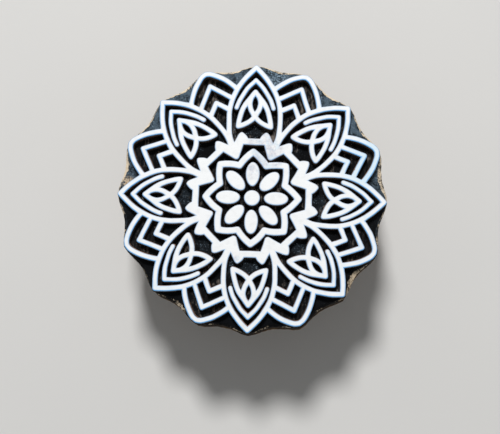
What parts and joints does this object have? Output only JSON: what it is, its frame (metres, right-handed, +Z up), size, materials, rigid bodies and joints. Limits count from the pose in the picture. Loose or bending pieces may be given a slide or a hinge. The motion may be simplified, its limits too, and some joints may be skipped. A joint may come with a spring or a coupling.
{
  "type": "printing stamp",
  "caption": "Round hand-carved wooden printing stamp: a flower of raised lines on a scalloped block, with a bar handle let into its back.",
  "frame": {"origin": "middle of the flat face that the handle stands on, which is the bottom centre of the whole stamp", "axes": "+Z up, out of the printing face; +Y towards the middle of the first main petal; X along the handle"},
  "size_m": [0.1052, 0.1052, 0.062],
  "materials": {
    "block_wood": "oiled hardwood, darkened by ink, raw where it is chipped",
    "printing_face": "the same hardwood under worn white block paint",
    "handle_wood": "oiled hardwood, hand polished",
    "screw_brass": "dulled brass"
  },
  "bodies": {
    "root": {"block": "block_wood", "handle": "handle_wood", "handle_screw_1": "screw_brass", "handle_screw_2": "screw_brass", "centre_boss": "printing_face", "star_band": "printing_face", "petal_lattice": "printing_face", "seed_petal_1": "printing_face", "seed_petal_2": "printing_face", "seed_petal_3": "printing_face", "seed_petal_4": "printing_face", "seed_petal_5": "printing_face", "seed_petal_6": "printing_face", "seed_petal_7": "printing_face", "seed_petal_8": "printing_face", "inner_arc_1": "printing_face", "inner_arc_2": "printing_face", "inner_arc_3": "printing_face", "inner_arc_4": "printing_face", "inner_arc_5": "printing_face", "inner_arc_6": "printing_face", "inner_arc_7": "printing_face", "inner_arc_8": "printing_face", "leaf_knot_1": "printing_face", "leaf_knot_2": "printing_face", "leaf_knot_3": "printing_face", "leaf_knot_4": "printing_face", "leaf_knot_5": "printing_face", "leaf_knot_6": "printing_face", "leaf_knot_7": "printing_face", "leaf_knot_8": "printing_face"}
  },
  "joints": []
}
